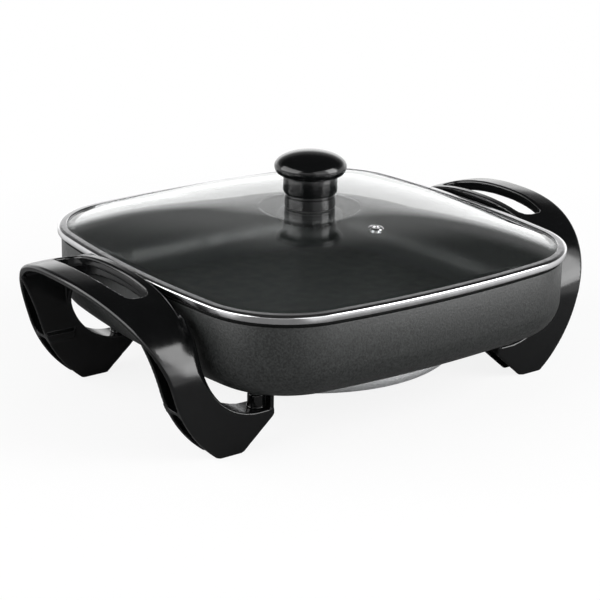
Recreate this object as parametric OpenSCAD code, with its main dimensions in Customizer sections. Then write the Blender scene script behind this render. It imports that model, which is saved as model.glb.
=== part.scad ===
// Electric skillet: a rounded-square non-stick pan that stands on two arched handles, a round
// heater plate with a socket for a temperature probe under it, and a lift-off glass lid.
// Millimetres. X runs along the two handles, -Y is the front, +Z is up and z = 0 is the worktop.

/* [Pan] */
// Width of the lid over its steel rim, across the middle of the sides
lid_width = 305; // [295:1:325]
// Radius of the long outward bow of each side
side_bow_r = 760; // [700:10:2000]
// Radius of the lid's four corners
corner_r = 66.5; // [60:1:78]
// How far the lid's rim stands out past the pan wall
rim_overhang = 2.6; // [1.8:0.1:3.2]
// Height of the pan's underside above the worktop
pan_underside_z = 43.5; // [41:0.5:50]
// Height of the pan wall, from the underside to its outer edge
pan_height = 53.2; // [50:0.2:60]
// Radius of the rounded edge between the pan's wall and its underside
pan_edge_r = 24; // [20:1:28]
// Thickness of the pan's wall
pan_wall = 3.4; // [3:0.1:4.5]
// Thickness of the pan's floor
pan_floor = 4; // [3.5:0.1:6]
// Height of the recessed step at the top of the pan, which the lid rests on
seat_step_h = 2.5; // [1.5:0.1:4]
// Width of that step
seat_step_w = 1.6; // [1:0.1:2]

/* [Lid] */
// Thickness of the lid's glass
glass_t = 4; // [3:0.1:5]
// Height of the steel rim around the glass
rim_h = 5.7; // [5.4:0.1:8]
// How far the rim reaches in over the glass
rim_reach = 6.4; // [5:0.1:8]
// Thickness of the rim's sheet steel
rim_sheet = 0.6; // [0.4:0.05:0.8]
// Width of the butt joint in the steel rim
rim_joint_w = 0.4; // [0.2:0.1:1]
// Place of the rim's butt joint along the right-hand side
rim_joint_y = 41; // [-50:1:50]
// Rise of the glass dome, from its edge to the flat spot under the knob
dome_rise = 20; // [12:0.5:30]
// Sharpness of the dome's shoulder
dome_power = 3.6; // [2.4:0.1:4.5]
// Diameter of the flat round spot in the middle of the glass
dome_flat_d = 73.2; // [60:1:90]
// Distance of the steam vent from the middle of the lid
vent_distance = 66; // [50:0.5:80]
// Angle by which the steam vent lies off the lid's front centre line
vent_turn = 6.5; // [-20:0.5:20]
// Outer diameter of the steam vent's eyelet
vent_flange_d = 10.4; // [9:0.1:14]
// Diameter of the steam hole through the eyelet
vent_hole_d = 4; // [3:0.1:5]
// Running clearance between the resting lid and the pan
lid_clearance = 0.3; // [0.2:0.05:0.6]

/* [Knob] */
// Diameter of the knob's mushroom cap
knob_cap_d = 51; // [44:0.5:60]
// Height of the cap above its widest line
knob_cap_top_h = 10.5; // [9:0.5:14]
// Height of the cap below its widest line
knob_cap_low_h = 6; // [4:0.5:7]
// Diameter of the collar under the cap
knob_collar_d = 38.3; // [34:0.1:41]
// Height of the collar
knob_collar_h = 13.3; // [12:0.1:18]
// Diameter of the foot under the collar
knob_foot_d = 36; // [30:0.1:37]
// Height of the foot, with its groove
knob_foot_h = 9.3; // [6:0.1:14]
// Diameter of the domed seat that holds the knob below the glass
knob_seat_d = 46.6; // [40:0.2:52]
// Height of that seat
knob_seat_h = 6.4; // [5:0.2:9]
// Diameter of the knob's screw
knob_screw_d = 5; // [4:0.5:6]

/* [Heater] */
// Radius of the heater plate under the pan
plate_r = 107.5; // [102:0.5:108]
// How far the heater plate hangs below the pan
plate_drop = 20.5; // [17.5:0.5:22]
// Thickness of the plate inside its ring
plate_t = 5; // [4:0.5:6]
// Width of the ring that holds the heating element
ring_w = 27; // [24:1:34]
// Radius of the heating element's tube
element_tube_r = 3.4; // [3:0.1:4]
// Radius of the element's terminal pins
pin_r = 2.4; // [2:0.1:2.6]
// Distance between the two terminal pins
pin_pitch = 28.6; // [26:0.1:32]
// How far the terminal pins stand out of the heater plate
pin_reach = 35; // [30:1:38]
// Radius of the bore that takes the temperature probe
probe_bore_r = 3.4; // [3:0.1:3.6]
// Wall of the probe's sleeve
probe_sleeve_wall = 1.2; // [0.8:0.1:1.3]
// Length of the probe's bore
probe_bore_len = 68; // [55:1:80]
// Width of the guard around the terminal pins
guard_w = 44; // [42:1:50]
// Height of the guard
guard_h = 18; // [16.5:0.5:19]
// Wall of the guard
guard_wall = 2; // [1.5:0.1:2.5]

/* [Handles] */
// Distance between the outer faces of a handle's two legs
handle_span = 192.6; // [185:0.2:205]
// Height of the grip above the worktop
grip_h = 109.5; // [106:0.5:120]
// Height at which the straight legs turn into the arch
arch_spring_z = 50; // [44:0.5:54]
// Fullness of the arch's shoulders, where 2 is an ellipse
arch_power = 2.3; // [2:0.05:2.5]
// How far the grip reaches out past the lid's edge
grip_reach = 53.5; // [50:0.5:58]
// Clearance between the lid's edge and the grip
grip_clearance = 2.5; // [1.5:0.1:4]
// Thickness of the handle's moulded skin
handle_skin = 3.5; // [3:0.1:4]
// Thickness of the walls and webs inside the handle
handle_web = 3; // [2.4:0.1:3.4]
// Depth of a leg, from its outer face to its inner face
leg_depth = 20; // [19:0.5:24]
// Depth of the rim under the grip on the pan's side
grip_depth = 14; // [10:0.5:16]
// Radius of the slight crown across the top of the grip
grip_crown_r = 170; // [140:5:400]
// Height of the narrow outer rim along the wing's edge
wing_rim = 6; // [5:0.5:8]
// Length of the finger slot in the grip
slot_len = 97; // [88:1:100]
// Width of the finger slot
slot_w = 24; // [20:0.5:26]
// Width of the bar between the finger slot and the grip's inner edge
slot_bar = 7; // [6:0.5:9]
// Depth of the wall around the finger slot, from the top of the grip
slot_wall_depth = 8; // [6:0.5:12]
// Width of a foot on the worktop
foot_w = 20; // [18:0.5:26]
// Radius of the cove between a leg and the pan
cove_r = 41.5; // [40:0.1:43]
// Radius of the bulge of the wing's edge, below its waist
bulge_r = 93; // [90:1:110]
// Radius of the flare of the wing's edge, above its waist
flare_r = 198; // [170:2:260]
// Height of the waist of the wing's edge
waist_z = 48; // [45:0.5:52]
// How far the waist lies past the lid's edge
waist_reach = 22.2; // [20:0.1:25]
// Diameter of the screws that hold the handles
handle_screw_d = 4; // [3.5:0.5:5]
// Distance of those screws in from the lid's edge
post_inset = 46.5; // [42:0.5:50]
// Radius of the handle's posts and of the pan's bosses over them
post_r = 6; // [5.5:0.25:6.5]

/* [Hidden] */

$fn = 64;
eps = 0.01;           // overlap of two shapes that become one piece
big = 600;            // larger than the whole object
side_steps = 8;       // facets along each bowed side
corner_steps = 12;    // facets around each corner

// Heights, from the worktop upwards
pan_edge_z = pan_underside_z + pan_height;
seat_z = pan_edge_z + seat_step_h;
rim_z = seat_z + lid_clearance;
glass_gap = 0.1;
glass_z = rim_z + rim_sheet + glass_gap;
glass_edge_top_z = glass_z + glass_t;
flat_z = glass_edge_top_z + dome_rise;

// The rounded square: four side arcs and four corner arcs, all offsets share their centres
lid_half = lid_width / 2;
pan_half = lid_half - rim_overhang;
bow_k = lid_half - side_bow_r;
corner_c = (bow_k + sqrt(2 * pow(side_bow_r - corner_r, 2) - bow_k * bow_k)) / 2;
bow_angle = atan2(corner_c, corner_c - bow_k);

// Points of the lid's outline, moved inwards by an inset
function side_arc(inset) = [for (i = [0:side_steps])
    let (a = -bow_angle + 2 * bow_angle * i / side_steps)
    [bow_k + (side_bow_r - inset) * cos(a), (side_bow_r - inset) * sin(a)]];
function corner_arc(inset) = [for (i = [1:corner_steps - 1])
    let (a = bow_angle + (90 - 2 * bow_angle) * i / corner_steps)
    [corner_c + (corner_r - inset) * cos(a), corner_c + (corner_r - inset) * sin(a)]];
function turned(p, quarter) = [
    p.x * cos(90 * quarter) - p.y * sin(90 * quarter),
    p.x * sin(90 * quarter) + p.y * cos(90 * quarter)];
function outline(inset) = [for (quarter = [0:3])
    for (p = concat(side_arc(inset), corner_arc(inset))) turned(p, quarter)];
function ring(inset, z) = [for (p = outline(inset)) [p.x, p.y, z]];

outline_n = 4 * (side_steps + corner_steps);

// Triangles between ring number a and ring number b, seen from outside when b lies over a
function ring_faces(a, b) = [for (i = [0:outline_n - 1])
    let (j = (i + 1) % outline_n)
    each [[a * outline_n + i, b * outline_n + i, b * outline_n + j],
          [a * outline_n + i, b * outline_n + j, a * outline_n + j]]];
function flat(lists) = [for (l = lists) each l];

// A solid from rings, closed by a flat face on the first and on the last ring
module capped(rings) {
    last = len(rings) - 1;
    polyhedron(points = flat(rings), convexity = 6, faces = concat(
        [[for (i = [0:outline_n - 1]) i]],
        flat([for (r = [0:last - 1]) ring_faces(r, r + 1)]),
        [[for (i = [0:outline_n - 1]) last * outline_n + outline_n - 1 - i]]));
}

// A closed hoop from rings, where the last ring joins the first
module hoop(rings) {
    last = len(rings) - 1;
    polyhedron(points = flat(rings), convexity = 6, faces = concat(
        flat([for (r = [0:last - 1]) ring_faces(r, r + 1)]), ring_faces(last, 0)));
}

// ---------------------------------------------------------------- pan

edge_steps = 8;
inner_edge_r = pan_edge_r - pan_wall;
pan_floor_z = pan_underside_z + pan_floor;
seat_lip = 1.2;       // how much thicker the pan's wall is at its top
rim_inner_inset = rim_overhang + pan_wall + seat_lip;
boss_h = 8;
boss_z = pan_underside_z - boss_h;
boss_hole_h = boss_h + 0.5 * pan_floor;
boss_root = pan_floor - 0.5;  // how far a boss runs up into the pan's floor
screw_slack = 0.1;    // radial clearance of a screw in its tapped hole
post_x = lid_half - post_inset;
post_y = handle_span / 2 - leg_depth / 2;
guard_boss_r = 4.5;
guard_boss_h = 4;
guard_boss_z = pan_underside_z - guard_boss_h;
guard_hole_h = guard_boss_h + 0.5 * pan_floor;
guard_boss_y = guard_w / 2 + guard_boss_r + 0.5;
guard_boss_gap = 7;   // distance from the heater plate to the guard's screws
guard_boss_x = plate_r + guard_boss_gap;
guard_screw_d = 3;
guard_screw_head_d = 5.5;
guard_screw_head_h = 2;
tip_gap = 1;          // space between a screw's tip and the end of its hole

// Rings of a rounded edge that turns from a floor at height z up into a wall
function edge_rings(wall_inset, r, z, upwards) = [for (i = [0:edge_steps])
    let (a = upwards ? 90 * i / edge_steps : 90 - 90 * i / edge_steps)
    ring(wall_inset + r * (1 - sin(a)), z + r * (1 - cos(a)))];

module pan_shell() {
    capped(concat(
        edge_rings(rim_overhang, pan_edge_r, pan_underside_z, true),
        [ring(rim_overhang, pan_edge_z - 0.6),
         ring(rim_overhang + 0.5, pan_edge_z),
         ring(rim_overhang + seat_step_w, pan_edge_z),
         ring(rim_overhang + seat_step_w, seat_z - 0.4),
         ring(rim_overhang + seat_step_w + 0.4, seat_z),
         ring(rim_inner_inset - 0.4, seat_z),
         ring(rim_inner_inset, seat_z - 0.4),
         ring(rim_inner_inset, pan_edge_z - 1.5),
         ring(rim_overhang + pan_wall, pan_edge_z - 4)],
        edge_rings(rim_overhang + pan_wall, inner_edge_r, pan_floor_z, false)));
}

module pan() {
    color("#3c3e3e") difference() {
        union() {
            pan_shell();
            for (sx = [-1, 1], sy = [-1, 1])
                translate([sx * post_x, sy * post_y, boss_z]) cylinder(r = post_r, h = boss_h + boss_root);
            for (sy = [-1, 1])
                translate([guard_boss_x, sy * guard_boss_y, guard_boss_z])
                    cylinder(r = guard_boss_r, h = guard_boss_h + boss_root);
        }
        for (sx = [-1, 1], sy = [-1, 1])
            translate([sx * post_x, sy * post_y, boss_z - eps])
                cylinder(r = handle_screw_d / 2 + screw_slack, h = boss_hole_h + eps);
        for (sy = [-1, 1])
            translate([guard_boss_x, sy * guard_boss_y, guard_boss_z - eps])
                cylinder(r = guard_screw_d / 2 + screw_slack, h = guard_hole_h + eps);
    }
}

// ---------------------------------------------------------------- heater

plate_z = pan_underside_z - plate_drop;
plate_web_z = pan_underside_z - plate_t;
ring_edge_r = 6;
ring_inner_r = plate_r - ring_w;
element_r = plate_r - ring_w / 2 - 1;
sleeve_r = probe_bore_r + probe_sleeve_wall;
socket_z = plate_web_z - sleeve_r;
fit_gap = 0.1;        // clearance around what the plate holds
element_end_r = element_tube_r - 0.4;
element_gap_a = asin((pin_pitch / 2 - element_tube_r) / element_r);
element_end_x = sqrt(pow(element_r, 2) - pow(pin_pitch / 2, 2));
element_out_x = plate_r + 5;
insulator_len = 4;
insulator_r = 4.2;
pin_stem_r = pin_r - 0.7;
pin_tip_x = plate_r + pin_reach;
pin_len = pin_tip_x - 1 - element_out_x - insulator_len;
guard_back_x = plate_r + 1.5;
guard_front_x = pin_tip_x + 4;
guard_z = socket_z - guard_h / 2;
sleeve_mouth_x = plate_r + 20;
sleeve_tail_x = sleeve_mouth_x - probe_bore_len;
sleeve_end_wall = 2;

module plate_profile() {
    difference() {
        union() {
            translate([0, plate_web_z]) square([plate_r, plate_t]);
            translate([ring_inner_r, plate_z]) square([ring_w - ring_edge_r, plate_drop]);
            translate([plate_r - ring_edge_r - eps, plate_z + ring_edge_r])
                square([ring_edge_r + eps, plate_drop - ring_edge_r]);
            translate([plate_r - ring_edge_r, plate_z + ring_edge_r]) circle(r = ring_edge_r, $fn = 32);
        }
        translate([-big, 0]) square([big, big]);
    }
}

// The element's path: a ring that is open towards +X, and two straight ends that leave it there
module element_shape(gap, out_x) {
    translate([0, 0, socket_z]) {
        rotate([0, 0, element_gap_a]) rotate_extrude(angle = 360 - 2 * element_gap_a)
            translate([element_r, 0]) circle(r = element_tube_r + gap, $fn = 24);
        for (sy = [-1, 1]) translate([element_end_x, sy * pin_pitch / 2, 0]) rotate([0, 90, 0])
            cylinder(r = element_end_r + gap, h = out_x - element_end_x);
    }
}

module heater_plate() {
    color("#b9bbbd") difference() {
        rotate_extrude() plate_profile();
        element_shape(fit_gap, plate_r + 1);
        translate([0, 0, socket_z]) rotate([0, 90, 0])
            cylinder(r = sleeve_r + fit_gap, h = plate_r + 1);
    }
}

module heating_element() {
    color("#8d8f90") element_shape(0, element_out_x);
}

module pin_insulators() {
    color("#e8e3d8") for (sy = [-1, 1])
        translate([element_out_x, sy * pin_pitch / 2, socket_z]) rotate([0, 90, 0]) difference() {
            cylinder(r = insulator_r, h = insulator_len);
            translate([0, 0, -eps]) cylinder(r = pin_stem_r, h = insulator_len + 2 * eps);
        }
}

module terminal_pins() {
    color("#c9c9c4") for (sy = [-1, 1])
        translate([element_out_x, sy * pin_pitch / 2, socket_z]) rotate([0, 90, 0]) {
            cylinder(r = pin_stem_r, h = insulator_len + eps);
            translate([0, 0, insulator_len]) cylinder(r = pin_r, h = pin_len);
            translate([0, 0, insulator_len + pin_len - eps]) cylinder(r1 = pin_r, r2 = pin_r - 1, h = 1);
        }
}

module probe_sleeve() {
    color("#c4c6c8") translate([sleeve_tail_x - sleeve_end_wall, 0, socket_z]) rotate([0, 90, 0])
        difference() {
            cylinder(r = sleeve_r, h = probe_bore_len + sleeve_end_wall);
            translate([0, 0, sleeve_end_wall]) cylinder(r = probe_bore_r, h = probe_bore_len + 1);
        }
}

guard_ear_t = 2.5;
guard_ear_y = guard_boss_y + guard_boss_r;
guard_hole_gap = 0.3;

module pin_guard() {
    color("#1b1b1c") difference() {
        union() {
            translate([guard_back_x, -guard_w / 2, guard_z])
                cube([guard_front_x - guard_back_x, guard_w, guard_h]);
            translate([guard_back_x, -guard_ear_y, guard_boss_z - guard_ear_t])
                cube([2 * (guard_boss_x - guard_back_x), 2 * guard_ear_y, guard_ear_t]);
        }
        translate([guard_back_x + guard_wall, -guard_w / 2 + guard_wall, guard_z + guard_wall])
            cube([big, guard_w - 2 * guard_wall, guard_h - 2 * guard_wall]);
        for (sy = [-1, 1]) {
            translate([guard_back_x - 1, sy * pin_pitch / 2, socket_z]) rotate([0, 90, 0])
                cylinder(r = element_end_r + guard_hole_gap, h = guard_wall + 2);
            translate([guard_boss_x, sy * guard_boss_y, guard_boss_z - guard_ear_t - 1])
                cylinder(r = guard_screw_d / 2 + 2 * screw_slack, h = guard_ear_t + 2);
        }
        translate([guard_back_x - 1, 0, socket_z]) rotate([0, 90, 0])
            cylinder(r = sleeve_r + guard_hole_gap, h = guard_wall + 2);
    }
}

// A pan-head screw that points up, with its head's flat face at z = 0
module screw(d, len, head_d, head_h) {
    cylinder(d = d, h = len);
    difference() {
        union() {
            translate([0, 0, -head_h / 2]) cylinder(d = head_d, h = head_h / 2);
            translate([0, 0, -head_h]) cylinder(d1 = 0.7 * head_d, d2 = head_d, h = head_h / 2);
        }
        for (a = [0, 90]) rotate([0, 0, a])
            translate([-0.35 * head_d, -0.08 * head_d, -head_h - eps])
                cube([0.7 * head_d, 0.16 * head_d, head_h / 2]);
    }
}

module pin_guard_screws() {
    color("#a8abad") for (sy = [-1, 1])
        translate([guard_boss_x, sy * guard_boss_y, guard_boss_z - guard_ear_t])
            screw(guard_screw_d, guard_ear_t + guard_hole_h - tip_gap, guard_screw_head_d, guard_screw_head_h);
}

// ---------------------------------------------------------------- handles
// Drawn for the right side with u = 0 at the lid's edge, then moved out or mirrored.

arch_a = handle_span / 2;
arch_b = grip_h - arch_spring_z;
arch_steps = 40;
waist_tilt = 16;
bulge_u = waist_reach - bulge_r * cos(waist_tilt);
bulge_z = waist_z + bulge_r * sin(waist_tilt);
flare_u = waist_reach + flare_r * cos(waist_tilt);
flare_z = waist_z - flare_r * sin(waist_tilt);
foot_out_u = bulge_u + sqrt(bulge_r * bulge_r - bulge_z * bulge_z);
foot_in_u = foot_out_u - foot_w;
pad_margin = 1.5;     // how far the pad's wall lies past the post
pad_u = post_x - post_r - pad_margin - lid_half;
ledge_z = 26;
wall_gap = 1.2;       // clearance between a handle and the pan's wall
cove_u = -wall_gap - cove_r;
cove_z = ledge_z + cove_r;
slope_z = 21.2;
slope_chamfer_u = 1.6;  // the small bevel where the slope meets the pad's wall
slope_chamfer_z = 2.2;
grip_step_z = 94;
crown_u = 15.5;
post_z = ledge_z - handle_web;
slot_corner_r = 9;
slot_bow_r = 180;
slot_rim_drop = 6;     // how much deeper that wall may run where the grip's top falls away
rim_low_z = waist_z + 16;  // lower end of the outer rim along the wing's edge
web_z = 34;
web_reach = 16;
washer_t = 0.8;
washer_d = 9;
handle_screw_head_d = 2 * handle_screw_d;
handle_screw_head_h = 2.6;
crown_depth = 30;     // height of the band under the grip's top that follows its crown
slot_cut_z = grip_h - 40;

// Seen from the side, along X: the arch over two straight legs, with its size cut down by insets
module arch_2d(inset_y, inset_z) {
    a = arch_a - inset_y;
    b = arch_b - inset_z;
    polygon(concat([[a, -1]],
        [for (i = [0:arch_steps]) let (c = cos(180 * i / arch_steps), s = sin(180 * i / arch_steps))
            [a * sign(c) * pow(abs(c), 2 / arch_power), arch_spring_z + b * pow(abs(s), 2 / arch_power)]],
        [[-a, -1]]));
}
module arch(inset_y, inset_z) {
    translate([-big / 2, 0, 0]) rotate([90, 0, 90]) linear_extrude(big) arch_2d(inset_y, inset_z);
}

// Seen from the front, along Y: what the pan and the cove take away, grown by a wall
module cove_2d(grow) {
    translate([cove_u, cove_z]) circle(r = cove_r + grow, $fn = 96);
    translate([-big, ledge_z - grow]) square([big + cove_u, big]);
    translate([-big, cove_z]) square([big - wall_gap + grow, big]);
    translate([-big, grip_step_z]) square([big + grip_clearance + grow, big]);
}
// The wing's edge, moved inwards by an inset
module wing_2d(inset) {
    intersection() {
        union() {
            intersection() {
                translate([bulge_u, bulge_z]) circle(r = bulge_r - inset, $fn = 128);
                translate([pad_u, 0]) square([big, waist_z]);
            }
            difference() {
                translate([pad_u, waist_z - eps]) square([grip_reach - pad_u - inset, big]);
                translate([flare_u, flare_z]) circle(r = flare_r + inset, $fn = 128);
            }
        }
        translate([crown_u, grip_h - grip_crown_r]) circle(r = grip_crown_r, $fn = 256);
    }
}
module slope_2d() {
    polygon([[-big, -2], [foot_in_u, -2], [foot_in_u, 0],
        [pad_u + slope_chamfer_u, slope_z - slope_chamfer_z], [pad_u, slope_z], [-big, slope_z]]);
}
module along_y(depth) {
    translate([0, depth / 2, 0]) rotate([90, 0, 0]) linear_extrude(depth) children();
}
module slot_2d(grow) {
    w = slot_w / 2 + grow;
    l = slot_len / 2 + grow;
    r = slot_corner_r + grow;
    mid = grip_clearance + slot_bar + slot_w / 2;
    intersection() {
        translate([mid, 0]) union() {
            square([2 * w, 2 * (l - r)], center = true);
            square([2 * (w - r), 2 * l], center = true);
            for (sx = [-1, 1], sy = [-1, 1]) translate([sx * (w - r), sy * (l - r)]) circle(r = r);
        }
        translate([mid + w - grow - slot_bow_r, 0]) circle(r = slot_bow_r + grow, $fn = 256);
    }
}

module leg_outer_form() {
    intersection() {
        arch(0, 0);
        along_y(2 * arch_a) difference() {
            wing_2d(0);
            cove_2d(0);
            slope_2d();
        }
    }
}

module handle_u() {
    difference() {
        union() {
            // skin, pan-side wall and ledge
            difference() {
                leg_outer_form();
                intersection() {
                    arch(handle_skin, handle_skin);
                    along_y(2 * arch_a) difference() {
                        translate([pad_u - 1, -2]) square([big, big]);
                        cove_2d(handle_web);
                        translate([-big, grip_h - crown_depth]) difference() {
                            square([2 * big, big]);
                            translate([big + crown_u, crown_depth - grip_crown_r])
                                circle(r = grip_crown_r - handle_skin, $fn = 256);
                        }
                    }
                }
                arch(leg_depth, grip_depth);
            }
            // inner faces of the two legs
            intersection() {
                leg_outer_form();
                for (sy = [-1, 1])
                    translate([-big / 2, sy * (arch_a - leg_depth + handle_web / 2) - handle_web / 2, -1])
                        cube([big, handle_web, grip_h]);
            }
            // narrow rim along the wing's edge
            intersection() {
                difference() {
                    leg_outer_form();
                    arch(handle_skin, wing_rim);
                }
                along_y(2 * arch_a) difference() {
                    wing_2d(0);
                    wing_2d(handle_web);
                    translate([-big, -2]) square([2 * big, rim_low_z + 2]);
                }
            }
            // wall around the finger slot
            intersection() {
                leg_outer_form();
                translate([0, 0, grip_h - slot_wall_depth - slot_rim_drop]) linear_extrude(big) slot_2d(handle_web);
                difference() {
                    arch(0, 0);
                    arch(slot_wall_depth, slot_wall_depth);
                }
            }
            for (sy = [-1, 1]) {
                // web between the two faces of the leg
                intersection() {
                    leg_outer_form();
                    translate([waist_reach - web_reach - 8, sy * (arch_a - leg_depth / 2) - leg_depth / 2, web_z])
                        cube([web_reach + 20, leg_depth, handle_web]);
                }
                // pad wall and post under the pan
                translate([pad_u, sy * (arch_a - leg_depth / 2) - leg_depth / 2, slope_z])
                    cube([handle_web, leg_depth, pan_underside_z - slope_z]);
                translate([post_x - lid_half, sy * post_y, post_z]) cylinder(r = post_r, h = boss_z - post_z);
            }
        }
        translate([0, 0, slot_cut_z]) linear_extrude(big) slot_2d(0);
        for (sy = [-1, 1]) translate([post_x - lid_half, sy * post_y, 0]) {
            cylinder(r = handle_screw_d / 2 + 3 * screw_slack, h = big);
            translate([0, 0, boss_z]) cylinder(r = post_r + 0.3, h = boss_h + 1);
        }
    }
}

module handle(side) {
    color("#141516") mirror([side < 0 ? 1 : 0, 0, 0]) translate([lid_half, 0, 0]) handle_u();
}
module handle_washers(side) {
    color("#a8abad") for (sy = [-1, 1]) translate([side * post_x, sy * post_y, post_z - washer_t])
        difference() {
            cylinder(d = washer_d, h = washer_t);
            translate([0, 0, -eps]) cylinder(r = handle_screw_d / 2 + 3 * screw_slack, h = washer_t + 2 * eps);
        }
}
module handle_screws(side) {
    color("#a8abad") for (sy = [-1, 1]) translate([side * post_x, sy * post_y, post_z - washer_t])
        screw(handle_screw_d, boss_z - post_z + washer_t + boss_hole_h - tip_gap,
                handle_screw_head_d, handle_screw_head_h);
}
module left_handle() { handle(-1); }
module right_handle() { handle(1); }
module left_handle_washers() { handle_washers(-1); }
module right_handle_washers() { handle_washers(1); }
module left_handle_screws() { handle_screws(-1); }
module right_handle_screws() { handle_screws(1); }

// ---------------------------------------------------------------- lid

glass_inset = rim_sheet + 0.5;
dome_inset = rim_reach + 1.6;
dome_steps = 10;
flat_r = dome_flat_d / 2;
glass_hole_r = knob_screw_d / 2 + 2;
vent_barrel_r = vent_hole_d / 2 + 1.6;
vent_flange_t = 0.8;
dome_mid = lid_half - dome_inset;

// Height of the glass's upper face, where u runs from 0 in the middle to 1 at the dome's edge
function dome_z(u) = glass_edge_top_z + dome_rise * (1 - pow(max(u, u_flat), dome_power)) / (1 - pow(u_flat, dome_power));
u_flat = flat_r / dome_mid;
function unit(p) = p / norm(p);
// A ring of the dome: the outline at its edge turns into a circle at the flat spot
function dome_ring(u, drop) = let (w = (1 - u) / (1 - u_flat), o = outline(dome_inset))
    [for (p = o) let (q = u * (p * (1 - w) + unit(p) * dome_mid * w)) [q.x, q.y, dome_z(u) - drop]];
function circle_ring(r, z) = [for (p = outline(dome_inset)) let (q = unit(p) * r) [q.x, q.y, z]];
function dome_u(i) = 1 - (1 - u_flat) * i / dome_steps;

module lid_glass() {
    color("#a9b6b4", 0.35) difference() {
        hoop(concat(
            [ring(glass_inset, glass_z), ring(glass_inset, glass_edge_top_z)],
            [for (i = [0:dome_steps]) dome_ring(dome_u(i), 0)],
            [circle_ring(glass_hole_r, flat_z), circle_ring(glass_hole_r, flat_z - glass_t)],
            [for (i = [0:dome_steps]) dome_ring(dome_u(dome_steps - i), glass_t)]));
        rotate([0, 0, vent_turn]) translate([0, -vent_distance, 0])
            cylinder(r = vent_barrel_r + glass_gap, h = big);
    }
}

module lid_rim() {
    top = rim_z + rim_h;
    in_top = rim_sheet;
    color("#d7d9da") difference() {
        hoop([
            ring(rim_reach, rim_z), ring(1.3, rim_z), ring(0.35, rim_z + 0.7), ring(0, rim_z + 1.9),
            ring(0.05, top - 2.6), ring(0.5, top - 1.2), ring(1.5, top - 0.3), ring(3, top),
            ring(rim_reach, top - 0.2),
            ring(rim_reach, glass_edge_top_z + glass_gap), ring(glass_inset - 0.2, glass_edge_top_z + glass_gap),
            ring(in_top, glass_edge_top_z - 0.4), ring(in_top, rim_z + 2), ring(in_top + 0.3, rim_z + rim_sheet),
            ring(rim_reach, rim_z + rim_sheet)]);
        translate([0, rim_joint_y - rim_joint_w / 2, rim_z - 1]) cube([lid_half + 1, rim_joint_w, rim_h + 2]);
    }
}

// The vent's share of the way from the lid's middle to the dome's edge, and the slope there
vent_u = vent_distance / dome_mid;
vent_z = dome_z(vent_u);
vent_tilt = atan((dome_z(vent_u - 0.01) - dome_z(vent_u + 0.01)) / (0.02 * dome_mid));

module vent_eyelet() {
    color("#d7d9da") rotate([0, 0, vent_turn]) translate([0, -vent_distance, vent_z])
        rotate([vent_tilt, 0, 0]) difference() {
        union() {
            translate([0, 0, glass_gap]) cylinder(d = vent_flange_d, h = vent_flange_t / 2);
            translate([0, 0, glass_gap + vent_flange_t / 2 - eps])
                cylinder(d1 = vent_flange_d, d2 = vent_flange_d - 2, h = vent_flange_t / 2);
            translate([0, 0, -glass_t - 3 * glass_gap - eps])
                cylinder(r = vent_barrel_r - 0.2, h = glass_t + 4 * glass_gap + 2 * eps);
            translate([0, 0, -glass_t - 3 * glass_gap - vent_flange_t])
                cylinder(d = vent_flange_d - 1, h = vent_flange_t);
        }
        translate([0, 0, -2 * glass_t]) cylinder(d = vent_hole_d, h = 4 * glass_t);
    }
}

// ---------------------------------------------------------------- knob

gasket_t = 0.6;
foot_z = flat_z + gasket_t;
collar_z = foot_z + knob_foot_h;
cap_z = collar_z + knob_collar_h;
cap_wide_z = cap_z + knob_cap_low_h;
groove_h = 1.8;
collar_r = knob_collar_d / 2;
foot_r = knob_foot_d / 2;
cap_r = knob_cap_d / 2;
knob_wall = 3;
insert_r = knob_screw_d / 2 + 2;
insert_h = 12;
stem_r = insert_r + 3;
tenon_h = 3;
knob_cap_curl = 85;   // angle of the arc that turns the cap's underside into its edge
lower_gasket_t = 1;
glass_under_z = flat_z - glass_t;
seat_top_z = glass_under_z - lower_gasket_t;
seat_wall = 3;
seat_edge_h = 2;
seat_r = knob_seat_d / 2;
seat_top_r = seat_r - 5.5;
seat_notch_n = 16;
seat_notch_w = 2.4;
washer_plate_t = 1.2;
washer_plate_r = 9;
washer_plate_z = seat_top_z - seat_wall - washer_plate_t;
screw_r = knob_screw_d / 2 + 2 * screw_slack;

function quarter_arc(rx, rz, x0, z0, a0, a1, n) = [for (i = [0:n])
    let (a = a0 + (a1 - a0) * i / n) [x0 + rx * cos(a), z0 + rz * sin(a)]];

module knob_cap() {
    color("#101112") difference() {
        rotate_extrude($fn = 96) polygon(concat(
            [[0, cap_z - tenon_h], [stem_r, cap_z - tenon_h], [stem_r, cap_z], [collar_r + 0.3, cap_z]],
            quarter_arc(cap_r - collar_r - 0.3, knob_cap_low_h, collar_r + 0.3, cap_wide_z, -knob_cap_curl, 0, 8),
            quarter_arc(cap_r, knob_cap_top_h, 0, cap_wide_z, 4, 90, 16)));
        translate([0, 0, cap_z - tenon_h - eps]) cylinder(r = insert_r, h = insert_h + eps);
    }
}

module knob_collar() {
    color("#161718") difference() {
        union() {
            translate([0, 0, foot_z]) cylinder(r = foot_r, h = knob_foot_h - groove_h);
            translate([0, 0, foot_z]) cylinder(r = foot_r - 0.8, h = knob_foot_h);
            translate([0, 0, collar_z]) cylinder(r1 = foot_r - 0.2, r2 = collar_r, h = groove_h);
            translate([0, 0, collar_z + groove_h - eps])
                cylinder(r = collar_r, h = knob_collar_h - groove_h + eps);
        }
        // hollow between the outer wall and the stem, open below
        translate([0, 0, foot_z - eps]) difference() {
            cylinder(r = foot_r - knob_wall, h = knob_foot_h + knob_collar_h - tenon_h - knob_wall);
            cylinder(r = stem_r, h = big);
        }
        translate([0, 0, cap_z - tenon_h]) cylinder(r = stem_r + 0.05, h = tenon_h + 1);
        translate([0, 0, foot_z - 1]) cylinder(r = screw_r, h = big);
    }
}

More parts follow.
